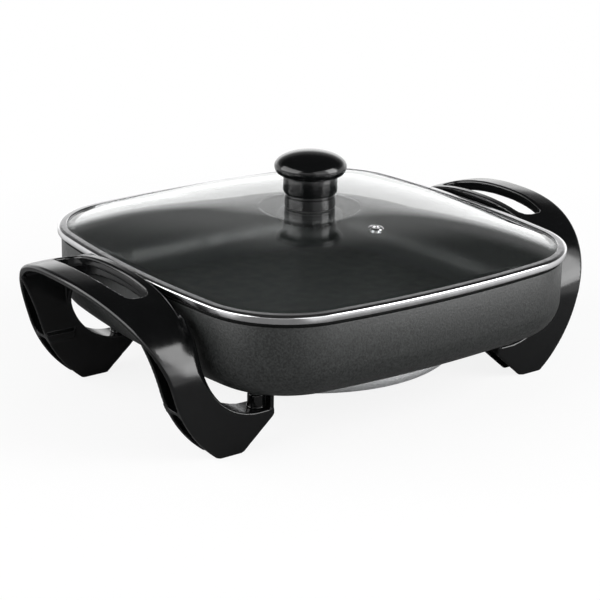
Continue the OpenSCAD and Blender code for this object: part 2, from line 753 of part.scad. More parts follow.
module knob_insert() {
    color("#c9a24a") translate([0, 0, cap_z - tenon_h]) difference() {
        cylinder(r = insert_r - 0.05, h = insert_h - 0.5);
        translate([0, 0, -eps]) cylinder(r = knob_screw_d / 2 + screw_slack, h = insert_h - 2);
    }
}

module disc_with_hole(r, hole_r, z, h) {
    translate([0, 0, z]) difference() {
        cylinder(r = r, h = h);
        translate([0, 0, -eps]) cylinder(r = hole_r, h = h + 2 * eps);
    }
}

module knob_top_gasket() {
    color("#6c6c6a") disc_with_hole(foot_r - 0.6, glass_hole_r, flat_z, gasket_t);
}
module knob_lower_gasket() {
    color("#6c6c6a") union() {
        disc_with_hole(seat_top_r - 1, screw_r, seat_top_z, lower_gasket_t);
        disc_with_hole(glass_hole_r - 0.2, screw_r, glass_under_z - eps, glass_t);
    }
}
// A shallow domed cup, open below, with notches around its lower edge
module knob_lower_seat() {
    low_z = seat_top_z - knob_seat_h;
    color("#161718") difference() {
        rotate_extrude($fn = 96) polygon(concat(
            [[seat_top_r, seat_top_z], [screw_r, seat_top_z], [screw_r, seat_top_z - seat_wall]],
            quarter_arc(seat_r - seat_top_r, knob_seat_h - seat_edge_h,
                seat_top_r - seat_wall, low_z + seat_edge_h - seat_wall, 90, 0, 8),
            [[seat_r - seat_wall, low_z], [seat_r, low_z]],
            quarter_arc(seat_r - seat_top_r, knob_seat_h - seat_edge_h,
                seat_top_r, low_z + seat_edge_h, 0, 80, 8)));
        for (i = [0:seat_notch_n - 1]) rotate([0, 0, 360 * i / seat_notch_n])
            translate([0, -seat_notch_w / 2, low_z - eps])
                cube([seat_r + 1, seat_notch_w, seat_edge_h / 2]);
    }
}
module knob_washer() {
    color("#b4b7b9") disc_with_hole(washer_plate_r, screw_r, washer_plate_z, washer_plate_t);
}
module knob_screw() {
    color("#a8abad") translate([0, 0, washer_plate_z])
        screw(knob_screw_d, cap_z - tenon_h + insert_h - 2 - 2 * tip_gap - washer_plate_z,
            2 * knob_screw_d, 0.6 * knob_screw_d);
}

pan();
heater_plate();
heating_element();
terminal_pins();
pin_insulators();
probe_sleeve();
pin_guard();
pin_guard_screws();
left_handle();
left_handle_screws();
left_handle_washers();
right_handle();
right_handle_screws();
right_handle_washers();
lid_glass();
lid_rim();
vent_eyelet();
knob_cap();
knob_collar();
knob_insert();
knob_top_gasket();
knob_lower_gasket();
knob_lower_seat();
knob_washer();
knob_screw();
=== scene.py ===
"""Looks of the electric skillet: detailed meshes, materials, light and camera.

Sizes of the pieces are in millimetres, as in the CAD source, and become metres in to_object().
Those of the camera, the floor and the lamps are in metres.
X runs along the two handles, -Y is the front and z = 0 is the worktop.
"""
import math

import bpy
import numpy as np
from mathutils import Matrix, Vector


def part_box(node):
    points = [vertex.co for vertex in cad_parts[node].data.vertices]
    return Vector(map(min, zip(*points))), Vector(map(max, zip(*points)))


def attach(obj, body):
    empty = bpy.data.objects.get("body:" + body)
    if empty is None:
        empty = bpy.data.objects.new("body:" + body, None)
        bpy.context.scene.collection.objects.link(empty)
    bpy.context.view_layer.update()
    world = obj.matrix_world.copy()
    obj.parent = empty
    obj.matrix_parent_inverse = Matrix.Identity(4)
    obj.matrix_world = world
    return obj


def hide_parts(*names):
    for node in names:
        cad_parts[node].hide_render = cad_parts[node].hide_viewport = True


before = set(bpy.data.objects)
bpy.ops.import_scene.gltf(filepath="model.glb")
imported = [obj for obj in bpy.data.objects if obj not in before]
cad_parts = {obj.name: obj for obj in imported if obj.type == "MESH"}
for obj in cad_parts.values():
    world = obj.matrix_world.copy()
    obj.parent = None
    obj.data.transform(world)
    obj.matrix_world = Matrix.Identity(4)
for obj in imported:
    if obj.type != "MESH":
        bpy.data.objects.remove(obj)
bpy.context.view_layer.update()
scene = bpy.context.scene
scene.view_settings.view_transform = "Standard"

MM = 0.001


def span(node):
    """Lowest and highest corner of a CAD node, in millimetres."""
    low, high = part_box(node)
    return np.array(low) / MM, np.array(high) / MM


# ---------------------------------------------------------------- camera

CAMERA_AZIMUTH = math.radians(-36.78)
CAMERA_ELEVATION = math.radians(19.19)
CAMERA_ROLL = math.radians(1.02)
CAMERA_DISTANCE = 1.3171
CAMERA_TARGET = Vector((-0.01555, -0.01125, 0.060))
FOCAL_PIXELS = 1861.0
FRAME_PIXELS = 600
SENSOR_MM = 36.0


def direction(azimuth, elevation):
    """Unit vector from the object, where azimuth 0 is the front (-Y) and 90 degrees is +X."""
    return Vector((math.sin(azimuth) * math.cos(elevation),
                   -math.cos(azimuth) * math.cos(elevation),
                   math.sin(elevation)))


def make_camera():
    """The photograph's camera, whose picture is turned a little about the line of sight."""
    back = direction(CAMERA_AZIMUTH, CAMERA_ELEVATION)
    right = Vector((0, 0, 1)).cross(back).normalized()
    up = back.cross(right)
    c, s = math.cos(CAMERA_ROLL), math.sin(CAMERA_ROLL)
    right, up = c * right + s * up, c * up - s * right
    data = bpy.data.cameras.new("camera")
    data.sensor_width = SENSOR_MM
    data.lens = FOCAL_PIXELS / FRAME_PIXELS * SENSOR_MM
    camera = bpy.data.objects.new("camera", data)
    scene.collection.objects.link(camera)
    turn = Matrix((right, up, back)).transposed().to_4x4()
    camera.matrix_world = Matrix.Translation(CAMERA_TARGET + CAMERA_DISTANCE * back) @ turn
    scene.camera = camera


# ---------------------------------------------------------------- materials

class Graph:
    """Makes and joins the shader nodes of a material or a world."""

    def __init__(self, owner):
        owner.use_nodes = True
        self.nodes = owner.node_tree.nodes
        self.links = owner.node_tree.links

    def add(self, kind, *links, **settings):
        """A new node, with its first inputs joined to the given outputs."""
        node = self.nodes.new("ShaderNode" + kind)
        for name, value in settings.items():
            setattr(node, name, value)
        for number, output in enumerate(links):
            self.links.new(output, node.inputs[number])
        return node

    def mixed(self, factor, first, second):
        return self.add("MixShader", factor, first, second).outputs["Shader"]

    def combined(self, operation, first, second):
        return self.add("Math", first, second, operation=operation).outputs[0]

    def smooth_range(self, value, start, end, low=0.0, high=1.0):
        """Rises smoothly from low at start to high at end."""
        ramp = self.add("MapRange", value, interpolation_type="SMOOTHSTEP")
        for socket, number in (("From Min", start), ("From Max", end), ("To Min", low), ("To Max", high)):
            ramp.inputs[socket].default_value = number
        return ramp.outputs["Result"]


NOISE_SPAN = (0.3, 0.7)   # where nearly all values of the noise lie


class Shader:
    """A Principled material whose colour, roughness and relief come from procedural noise."""

    def __init__(self, name, color, roughness, metallic=0.0, **sockets):
        self.material = bpy.data.materials.new(name)
        self.graph = Graph(self.material)
        self.principled = self.graph.nodes["Principled BSDF"]
        self.place = self.graph.add("TexCoord").outputs["Object"]
        self.color = color
        self.put("Base Color", (*color, 1))
        self.put("Roughness", roughness)
        self.put("Metallic", metallic)
        for socket, value in sockets.items():
            self.put(socket.replace("_", " "), value)

    def put(self, socket, value):
        self.principled.inputs[socket].default_value = value

    def noise(self, size_mm, detail, stretch=(1, 1, 1)):
        """Noise with features about size_mm across, stretched along the axes."""
        mapping = self.graph.add("Mapping", self.place)
        mapping.inputs["Scale"].default_value = [1 / s for s in stretch]
        texture = self.graph.add("TexNoise", mapping.outputs["Vector"])
        texture.inputs["Scale"].default_value = 1 / (size_mm * MM)
        texture.inputs["Detail"].default_value = detail
        return texture.outputs["Fac"]

    def join(self, output, socket):
        self.graph.links.new(output, self.principled.inputs[socket])

    def vary_color(self, noise, darker, lighter):
        """Colour from darker to lighter times the base colour, by the noise."""
        ramp = self.graph.add("ValToRGB", noise)
        for element, place, gain in zip(ramp.color_ramp.elements, NOISE_SPAN, (darker, lighter)):
            element.position = place
            element.color = (*(min(1.0, c * gain) for c in self.color), 1)
        self.join(ramp.outputs["Color"], "Base Color")

    def vary_roughness(self, noise, low, high):
        remap = self.graph.add("MapRange", noise)
        for socket, number in zip(("From Min", "From Max", "To Min", "To Max"), (*NOISE_SPAN, low, high)):
            remap.inputs[socket].default_value = number
        self.join(remap.outputs["Result"], "Roughness")

    def relief(self, noise, height_mm, strength):
        bump = self.graph.add("Bump")
        bump.inputs["Distance"].default_value = height_mm * MM
        bump.inputs["Strength"].default_value = strength
        self.graph.links.new(noise, bump.inputs["Height"])
        self.join(bump.outputs["Normal"], "Normal")


def coated_outside():
    """Charcoal non-stick coat with a fine metallic grain."""
    coat = Shader("coat_outside", (0.0145, 0.0155, 0.0152), 0.4, IOR=1.45)
    grain = coat.noise(1.4, 4)
    coat.vary_color(grain, 0.45, 1.8)
    coat.vary_roughness(coat.noise(2.5, 2), 0.34, 0.46)
    coat.relief(grain, 0.15, 0.8)
    return coat.material


def coated_inside():
    """Matt black non-stick coat inside the pan."""
    coat = Shader("coat_inside", (0.019, 0.0207, 0.0203), 0.42)
    grain = coat.noise(1.2, 4)
    coat.vary_color(grain, 0.85, 1.15)
    coat.vary_roughness(coat.noise(9, 3), 0.36, 0.48)
    coat.relief(grain, 0.03, 0.4)
    return coat.material


def painted_shade_seat_coat():
    """Dull coat on the step under the lid's rim, painted far darker than the inside coat as painted shade
    of the gap under the rim.
    """
    # near-black colour: painted shade of the gap under the rim, not the coat's own tone
    coat = Shader("coat_seat_painted_shade", (0.004, 0.0044, 0.0043), 0.7, IOR=1.25)
    grain = coat.noise(1.2, 4)
    coat.vary_color(grain, 0.8, 1.2)
    coat.vary_roughness(coat.noise(6, 3), 0.64, 0.76)
    coat.relief(grain, 0.03, 0.4)
    return coat.material


def phenolic(name="phenolic", roughness=0.15):
    """Black moulded plastic, polished unless it is rougher, with a very slight waviness."""
    plastic = Shader(name, (0.0028, 0.003, 0.0032), roughness, IOR=1.5)
    plastic.vary_color(plastic.noise(14, 2), 0.9, 1.12)
    plastic.vary_roughness(plastic.noise(6, 4), 0.85 * roughness, 1.2 * roughness)
    plastic.relief(plastic.noise(7, 1), 0.03, 0.25)
    return plastic.material


def knob_phenolic():
    return phenolic("phenolic_knob", 0.13)


def dull_phenolic():
    return phenolic("phenolic_dull", 0.4)


def guard_plastic():
    """Black satin plastic of the guard around the pins."""
    plastic = Shader("guard_plastic", (0.018, 0.018, 0.019), 0.45)
    grain = plastic.noise(0.7, 3)
    plastic.vary_color(grain, 0.85, 1.2)
    plastic.vary_roughness(grain, 0.38, 0.55)
    plastic.relief(grain, 0.05, 0.5)
    return plastic.material


def polished_steel():
    """Rolled stainless strip, polished, with faint marks."""
    steel = Shader("polished_steel", (0.66, 0.66, 0.67), 0.1, 1.0)
    marks = steel.noise(5, 5)
    steel.vary_color(marks, 0.94, 1.05)
    steel.vary_roughness(marks, 0.1, 0.17)
    steel.relief(steel.noise(16, 1), 0.02, 0.2)
    return steel.material


def cast_aluminium():
    """Bare casting with a fine grain."""
    metal = Shader("cast_aluminium", (0.7, 0.71, 0.72), 0.4, 0.85)
    grain = metal.noise(1.6, 5)
    metal.vary_color(grain, 0.9, 1.08)
    metal.vary_roughness(grain, 0.32, 0.5)
    metal.relief(grain, 0.12, 0.5)
    return metal.material


def element_steel():
    """Drawn tube, stained by heat."""
    metal = Shader("element_steel", (0.32, 0.31, 0.30), 0.45, 0.9)
    stain = metal.noise(8, 5)
    metal.vary_color(stain, 0.7, 1.25)
    metal.vary_roughness(stain, 0.35, 0.6)
    metal.relief(metal.noise(0.8, 2, (4, 1, 1)), 0.02, 0.4)
    return metal.material


def plated_steel():
    metal = Shader("plated_steel", (0.6, 0.6, 0.59), 0.26, 1.0)
    stain = metal.noise(3, 4)
    metal.vary_color(stain, 0.88, 1.1)
    metal.vary_roughness(stain, 0.18, 0.36)
    metal.relief(metal.noise(0.5, 2), 0.01, 0.4)
    return metal.material


def brass():
    metal = Shader("brass", (0.72, 0.53, 0.25), 0.28, 1.0)
    stain = metal.noise(2, 4)
    metal.vary_color(stain, 0.85, 1.08)
    metal.vary_roughness(stain, 0.2, 0.4)
    return metal.material


def ceramic():
    body = Shader("ceramic", (0.82, 0.8, 0.74), 0.6)
    grain = body.noise(0.8, 4)
    body.vary_color(grain, 0.92, 1.06)
    body.vary_roughness(grain, 0.5, 0.7)
    body.relief(grain, 0.03, 0.5)
    return body.material


def silicone():
    body = Shader("silicone", (0.02, 0.02, 0.02), 0.55)
    grain = body.noise(0.9, 3)
    body.vary_color(grain, 0.85, 1.15)
    body.vary_roughness(grain, 0.48, 0.65)
    return body.material


def clear_glass():
    """Tempered glass that lets lamp light through to the pan."""
    glass = Shader("clear_glass", (0.93, 0.95, 0.945), 0.02, Transmission_Weight=1.0, IOR=1.5)
    glass.vary_roughness(glass.noise(20, 2), 0.0, 0.02)
    graph = glass.graph
    shadow = graph.add("LightPath").outputs["Is Shadow Ray"]
    clear = graph.add("BsdfTransparent")
    clear.inputs["Color"].default_value = (0.9, 0.92, 0.915, 1)
    shown = graph.mixed(shadow, glass.principled.outputs["BSDF"], clear.outputs["BSDF"])
    graph.links.new(shown, graph.nodes["Material Output"].inputs["Surface"])
    return glass.material


# ---------------------------------------------------------------- mesh tools

def to_object(name, body, vertices, faces, materials, smooth_angle, slots=None):
    """A piece from points in millimetres, smooth but for edges sharper than smooth_angle degrees.

    slots gives each face's material number.
    """
    mesh = bpy.data.meshes.new(name)
    mesh.from_pydata((np.asarray(vertices, float) * MM).tolist(), [], faces)
    if slots is not None:
        mesh.polygons.foreach_set("material_index", slots)
    mesh.shade_smooth()
    mesh.update()
    mesh.set_sharp_from_angle(angle=math.radians(smooth_angle))
    for material in materials:
        mesh.materials.append(material)
    piece = bpy.data.objects.new(name, mesh)
    scene.collection.objects.link(piece)
    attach(piece, body)
    return piece


class Solid:
    """Collects rings and lathes into one list of points and faces."""

    def __init__(self):
        self.points, self.faces, self.slots = [], [], []

    def add_rings(self, rings, slot=0, looped=True, closed=False, caps=(False, False)):
        """Quads between rings of equal length.

        looped joins each ring's ends, closed joins the last ring to the first, and caps says
        whether the first and the last ring are filled.
        """
        n, first = len(rings[0]), len(self.points)
        self.points.extend(p for ring in rings for p in ring)
        last = len(rings) if closed else len(rings) - 1
        for r in range(last):
            a, b = first + r * n, first + (r + 1) % len(rings) * n
            for i in range(n if looped else n - 1):
                j = (i + 1) % n
                self.faces.append((a + i, a + j, b + j, b + i))
                self.slots.append(slot)
        if caps[0]:
            self.faces.append(tuple(first + i for i in reversed(range(n))))
            self.slots.append(slot)
        if caps[1]:
            self.faces.append(tuple(first + (len(rings) - 1) * n + i for i in range(n)))
            self.slots.append(slot)
        return self

    def add_lathe(self, profile, steps, centre=(0, 0), closed=False):
        """Turns (radius, height) points about a vertical axis at centre."""
        turn = np.linspace(0, 2 * math.pi, steps, endpoint=False)
        rings = [np.column_stack((centre[0] + r * np.cos(turn), centre[1] + r * np.sin(turn),
                                  np.full(steps, float(z)))) for r, z in profile]
        return self.add_rings(rings, closed=closed)

    def build(self, name, body, materials, smooth_angle):
        return to_object(name, body, self.points, self.faces, materials, smooth_angle, self.slots)


def arc(x, z, r, start, end, steps, rz=None):
    """Points of an arc in a profile plane, angles in degrees; rz makes it an ellipse."""
    angles = np.radians(np.linspace(start, end, steps + 1))
    return [(x + r * math.cos(a), z + (rz or r) * math.sin(a)) for a in angles]


# The rounded square that the pan, the rim and the glass share: four bowed sides, four corners
LID_HALF = span("lid_rim")[1][1]
SIDE_BOW_R = 760.0
CORNER_R = 66.5
SIDE_STEPS = 28
CORNER_STEPS = 24

BOW_K = LID_HALF - SIDE_BOW_R
CORNER_C = (BOW_K + math.sqrt(2 * (SIDE_BOW_R - CORNER_R) ** 2 - BOW_K ** 2)) / 2
BOW_ANGLE = math.atan2(CORNER_C, CORNER_C - BOW_K)


def side_points(inset, start, end, steps):
    """Points of the bowed +X side between two angles about the bow's centre."""
    a = np.linspace(start, end, steps)
    return np.column_stack((BOW_K + (SIDE_BOW_R - inset) * np.cos(a), (SIDE_BOW_R - inset) * np.sin(a)))


def corner_points(inset):
    """Points of the corner next to the +X side, without the two that it shares with the sides."""
    a = np.linspace(BOW_ANGLE, math.pi / 2 - BOW_ANGLE, CORNER_STEPS + 1)[1:-1]
    return CORNER_C + (CORNER_R - inset) * np.column_stack((np.cos(a), np.sin(a)))


def turned(points, quarter):
    """Points turned by a number of quarter turns."""
    c, s = round(math.cos(quarter * math.pi / 2)), round(math.sin(quarter * math.pi / 2))
    return points @ np.array(((c, s), (-s, c)))


def outline(inset):
    """The closed outline, moved inwards by inset."""
    quarter = np.vstack((side_points(inset, -BOW_ANGLE, BOW_ANGLE, SIDE_STEPS + 1), corner_points(inset)))
    return np.vstack([turned(quarter, q) for q in range(4)])


def open_outline(inset, start, end):
    """The outline from angle start on the +X side, all the way round to angle end there."""
    first = side_points(inset, start, BOW_ANGLE, SIDE_STEPS // 2 + 1)
    quarter = np.vstack((side_points(inset, -BOW_ANGLE, BOW_ANGLE, SIDE_STEPS + 1), corner_points(inset)))
    last = side_points(inset, -BOW_ANGLE, end, SIDE_STEPS // 2 + 1)
    return np.vstack([first, corner_points(inset)] + [turned(quarter, q) for q in (1, 2, 3)] + [last])


def at_height(points, z):
    return np.column_stack((points, np.full(len(points), float(z))))


def ring(inset, z):
    """The outline, moved inwards by inset, at height z."""
    return at_height(outline(inset), z)


# ---------------------------------------------------------------- pan

RIM_OVERHANG = 2.6   # from the lid's edge in to the pan's wall
PAN_WALL = 3.4
PAN_FLOOR = 4.0
PAN_EDGE_R = 24.0
SEAT_STEP_H = 2.5
SEAT_STEP_W = 1.6
LIP_OVERHANG = 1.2   # from the wall's inside in to the lip's
BOSS_H = 8.0
BOSS_R = 6.0
BOSS_HOLE_R = 2.1
GUARD_BOSS_H = 4.0
GUARD_BOSS_R = 4.5
GUARD_BOSS_HOLE_R = 1.6
GUARD_SCREW_HEAD_R = 2.75
BOSS_STEPS = 40
EDGE_ARC_STEPS = 14


def guard_boss_place():
    """X and Y of the guard's boss on the +Y side, from the box of the two screws."""
    low, high = span("pin_guard_screws")
    return (low[0] + high[0]) / 2, high[1] - GUARD_SCREW_HEAD_R


def edge_arc(inset, r, z, inward):
    """Inset and height of the rounded edge between a floor at height z and a wall at inset."""
    steps = range(EDGE_ARC_STEPS + 1)
    angles = [math.pi / 2 * (i if inward else EDGE_ARC_STEPS - i) / EDGE_ARC_STEPS for i in steps]
    return [(inset + r * (1 - math.cos(a)), z + r * (1 - math.sin(a))) for a in angles]


def add_boss(solid, x, y, r, hole_r, low_z, top_z):
    """A round boss with a blind hole, a bevelled end and a small fillet at its root."""
    solid.add_lathe([(hole_r, top_z), (hole_r, low_z + 0.4), (hole_r + 0.4, low_z), (r - 0.6, low_z),
                     (r - 0.15, low_z + 0.2), (r, low_z + 0.6), (r, top_z - 1.5), (r + 0.4, top_z - 0.5),
                     (r + 1.5, top_z + 0.1)], BOSS_STEPS, (x, y))


def pan_profiles(under_z, seat_z):
    """The wall's outer side, the step under the lid's rim, and the inside, as (inset, height)."""
    edge_z = seat_z - SEAT_STEP_H
    step_in = RIM_OVERHANG + SEAT_STEP_W
    wall_in = RIM_OVERHANG + PAN_WALL
    lip_in = wall_in + LIP_OVERHANG
    outer = edge_arc(RIM_OVERHANG, PAN_EDGE_R, under_z, False)
    outer += [(RIM_OVERHANG, edge_z - 0.5), (RIM_OVERHANG + 0.12, edge_z - 0.2),
              (RIM_OVERHANG + 0.4, edge_z)]
    step = [outer[-1], (step_in - 0.2, edge_z), (step_in, edge_z + 0.25), (step_in, seat_z - 0.5),
            (step_in + 0.15, seat_z - 0.12), (step_in + 0.5, seat_z)]
    inner = [step[-1], (lip_in - 0.6, seat_z), (lip_in - 0.15, seat_z - 0.15), (lip_in, seat_z - 0.5),
             (lip_in, edge_z - 1.2), (lip_in - 0.3, edge_z - 2.4), (wall_in, edge_z - 4)]
    inner += edge_arc(wall_in, PAN_EDGE_R - PAN_WALL, under_z + PAN_FLOOR, True)
    return outer, step, inner


def make_pan(outside, inside, seat_shade_coat, post, guard_boss):
    """The pan with a boss for each handle screw and for each screw of the guard."""
    low, high = span("pan")
    under_z, seat_z = low[2] + BOSS_H, high[2]
    outer, step, inner = pan_profiles(under_z, seat_z)
    solid = Solid()
    solid.add_rings([ring(i, z) for i, z in outer], 0, caps=(True, False))
    # the step under the rim takes the third material, whose darker colour is painted shade of the gap
    solid.add_rings([ring(i, z) for i, z in step], 2)
    solid.add_rings([ring(i, z) for i, z in inner], 1, caps=(False, True))
    for sx in (-1, 1):
        for sy in (-1, 1):
            add_boss(solid, sx * post[0], sy * post[1], BOSS_R, BOSS_HOLE_R, under_z - BOSS_H, under_z)
    for sy in (-1, 1):
        add_boss(solid, guard_boss[0], sy * guard_boss[1], GUARD_BOSS_R, GUARD_BOSS_HOLE_R,
                 under_z - GUARD_BOSS_H, under_z)
    piece = solid.build("pan_coated", "base", [outside, inside, seat_shade_coat], 30)
    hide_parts("pan")


# ---------------------------------------------------------------- lid

GLASS_T = 4.0
GLASS_BEVEL = 0.3
GLASS_HOLE_R = 4.5
HOLE_EDGE_W = 0.8
RIM_REACH = 6.4
RIM_SHEET = 0.6
RIM_ROLL_R = 0.9
RIM_CROWN_W = 2.9    # the rolled upper edge is a quarter of an ellipse
RIM_CROWN_H = 1.7
RIM_CROWN_STEPS = 14
RIM_ROLL_STEPS = 8
RIM_GAP_SIDE = 0.5   # between the strip and the glass
RIM_GAP_TOP = 0.2
RIM_JOINT_Y = 41.0
RIM_JOINT_W = 0.4
DOME_POWER = 3.6
DOME_FLAT_R = 36.6
DOME_STEPS = 36
DOME_GAP = 1.6       # from the rim's inner edge in to the dome
FLAT_GROOVE = ((0.2, 0.0), (0.45, 0.08), (0.7, 0.0), (1.0, 0.0))   # inset from DOME_FLAT_R, and depth
VENT_DISTANCE = 66.0
VENT_TURN = math.radians(6.5)
VENT_FLANGE_R = 5.2
VENT_BARREL_R = 3.2
VENT_HOLE_R = 2.0
VENT_STEPS = 64
VENT_LOW = -GLASS_T - 0.3   # just under the glass; the heights of the eyelet start at its upper face

GLASS_INSET = RIM_SHEET + RIM_GAP_SIDE
DOME_INSET = RIM_REACH + DOME_GAP
DOME_MID = LID_HALF - DOME_INSET
DOME_U_FLAT = DOME_FLAT_R / DOME_MID


def dome_height(u, edge_z, flat_z):
    """Height of the glass's upper face; u is 0 in the middle and 1 at the dome's edge."""
    share = (1 - np.maximum(u, DOME_U_FLAT) ** DOME_POWER) / (1 - DOME_U_FLAT ** DOME_POWER)
    return edge_z + (flat_z - edge_z) * share


def dome_ring(u, edge_z, flat_z, drop):
    """A ring of the dome: the outline at its edge, and more and more a circle towards the flat spot."""
    w = (1 - u) / (1 - DOME_U_FLAT)
    edge = outline(DOME_INSET)
    unit = edge / np.linalg.norm(edge, axis=1, keepdims=True)
    return at_height(u * (edge * (1 - w) + unit * DOME_MID * w), dome_height(u, edge_z, flat_z) - drop)


def circle_ring(r, z):
    """A circle with as many points as the outline, in the same directions."""
    edge = outline(DOME_INSET)
    return at_height(edge / np.linalg.norm(edge, axis=1, keepdims=True) * r, z)


def make_glass(glass):
    """The dome; returns the heights of its upper face at the edge and at the flat spot."""
    low, high = span("lid_glass")
    glass_z, flat_z = low[2], high[2]
    edge_z = glass_z + GLASS_T
    us = 1 - (1 - DOME_U_FLAT) * np.linspace(0, 1, DOME_STEPS + 1)
    bevel, hole = GLASS_BEVEL, GLASS_HOLE_R
    upper = [ring(GLASS_INSET + bevel, glass_z), ring(GLASS_INSET, glass_z + bevel),
             ring(GLASS_INSET, edge_z - bevel), ring(GLASS_INSET + bevel, edge_z)]
    upper += [dome_ring(u, edge_z, flat_z, 0) for u in us]
    upper += [circle_ring(DOME_FLAT_R - inset, flat_z - drop) for inset, drop in FLAT_GROOVE]
    upper += [circle_ring(hole + HOLE_EDGE_W, flat_z), circle_ring(hole + bevel, flat_z),
              circle_ring(hole, flat_z - bevel)]
    under_z = flat_z - GLASS_T
    lower = [circle_ring(hole, under_z + bevel), circle_ring(hole + bevel, under_z),
             circle_ring(hole + HOLE_EDGE_W, under_z), circle_ring(DOME_FLAT_R - 1.0, under_z)]
    lower += [dome_ring(u, edge_z, flat_z, GLASS_T) for u in us[::-1]]
    piece = Solid().add_rings(upper + lower, closed=True).build("glass_dome", "lid", [glass], 50)
    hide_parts("lid_glass")
    return edge_z, flat_z


def make_rim(steel):
    """A rolled strip around the glass, whose two ends meet on the right-hand side."""
    low, high = span("lid_rim")
    z, top = low[2], high[2]
    glass_top = z + RIM_SHEET + GLASS_T + RIM_GAP_TOP
    start = math.asin((RIM_JOINT_Y + RIM_JOINT_W / 2) / SIDE_BOW_R)
    end = math.asin((RIM_JOINT_Y - RIM_JOINT_W / 2) / SIDE_BOW_R)
    outside = [(RIM_REACH, z + 0.15), (RIM_REACH - 0.3, z), (RIM_ROLL_R, z)]
    outside += arc(RIM_ROLL_R, z + RIM_ROLL_R, RIM_ROLL_R, 270, 180, RIM_ROLL_STEPS)
    outside += arc(RIM_CROWN_W, top - RIM_CROWN_H, RIM_CROWN_W, 180, 90, RIM_CROWN_STEPS,
                   RIM_CROWN_H)
    outside += [(RIM_REACH - 0.25, top), (RIM_REACH, top - 0.25)]
    inside = [(RIM_REACH, glass_top - 0.1), (RIM_REACH - 0.2, glass_top - 0.05),
              (GLASS_INSET, glass_top - 0.1), (RIM_SHEET, glass_top - 0.7), (RIM_SHEET, z + RIM_ROLL_R),
              (RIM_ROLL_R, z + RIM_SHEET), (RIM_REACH, z + RIM_SHEET)]
    rings = [at_height(open_outline(i, start, end), h) for i, h in outside + inside]
    solid = Solid().add_rings(rings, looped=False, closed=True)
    n, count = len(rings[0]), len(rings)
    start_face = tuple(r * n for r in range(count))
    end_face = tuple(r * n + n - 1 for r in reversed(range(count)))
    solid.faces += [start_face, end_face]
    solid.slots += [0, 0]
    piece = solid.build("steel_rim", "lid", [steel], 35)
    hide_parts("lid_rim")


def make_vent(steel, edge_z, flat_z):
    """The pressed eyelet of the steam hole, square to the glass where it sits."""
    u, du = VENT_DISTANCE / DOME_MID, 0.01
    z = float(dome_height(u, edge_z, flat_z))
    drop = float(dome_height(u - du, edge_z, flat_z) - dome_height(u + du, edge_z, flat_z))
    tilt = math.atan2(drop, 2 * du * DOME_MID)
    profile = [(VENT_HOLE_R, VENT_LOW - 0.7), (VENT_HOLE_R, 0.3), (VENT_HOLE_R + 0.2, 0.65),
               (VENT_HOLE_R + 0.9, 0.85), (VENT_FLANGE_R - 1.2, 0.82), (VENT_FLANGE_R - 0.4, 0.6),
               (VENT_FLANGE_R, 0.15), (VENT_FLANGE_R - 0.4, 0.1), (VENT_BARREL_R, 0.1),
               (VENT_BARREL_R, VENT_LOW), (VENT_FLANGE_R - 0.6, VENT_LOW),
               (VENT_FLANGE_R - 0.5, VENT_LOW - 0.5), (VENT_HOLE_R + 0.4, VENT_LOW - 0.8)]
    solid = Solid().add_lathe(profile, VENT_STEPS, closed=True)
    place = (Matrix.Rotation(VENT_TURN, 4, "Z") @ Matrix.Translation((0, -VENT_DISTANCE, z))
             @ Matrix.Rotation(tilt, 4, "X"))
    solid.points = [place @ Vector(p) for p in solid.points]
    piece = solid.build("steam_eyelet", "lid", [steel], 30)
    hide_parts("vent_eyelet")


# ---------------------------------------------------------------- knob

KNOB_STEM_R = 7.5
KNOB_TENON_H = 3.0
KNOB_LOW_H = 6.0
KNOB_LIP = 0.6
KNOB_WALL = 3.0
SCREW_HOLE_R = 2.7
FOOT_H = 9.3
FOOT_INSET = 1.15
GROOVE_H = 1.8
GROOVE_DEPTH = 0.9
CAP_STEPS = 160
COLLAR_STEPS = 128

CAP_LOW_Z = span("knob_cap")[0][2]
CAP_Z = CAP_LOW_Z + KNOB_TENON_H   # where the cap sits on the collar
COLLAR_R = span("knob_collar")[1][0]


def make_knob_cap(plastic):
    """A low bowl under a high dome, with a tenon that stands in the collar."""
    high = span("knob_cap")[1]
    cap_r, top_z = high[0], high[2]
    wide_z = CAP_Z + KNOB_LOW_H
    lip_r = COLLAR_R + KNOB_LIP
    profile = [(0.0, CAP_LOW_Z), (KNOB_STEM_R, CAP_LOW_Z), (KNOB_STEM_R, CAP_Z), (COLLAR_R, CAP_Z)]
    profile += arc(lip_r, wide_z, cap_r - lip_r, -88, 0, 20, KNOB_LOW_H)
    profile += arc(0, wide_z, cap_r, 2, 89, 40, top_z - wide_z) + [(0.0, top_z)]
    cap = Solid().add_lathe(profile, CAP_STEPS).build("knob_cap_polished", "lid", [plastic], 35)
    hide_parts("knob_cap")


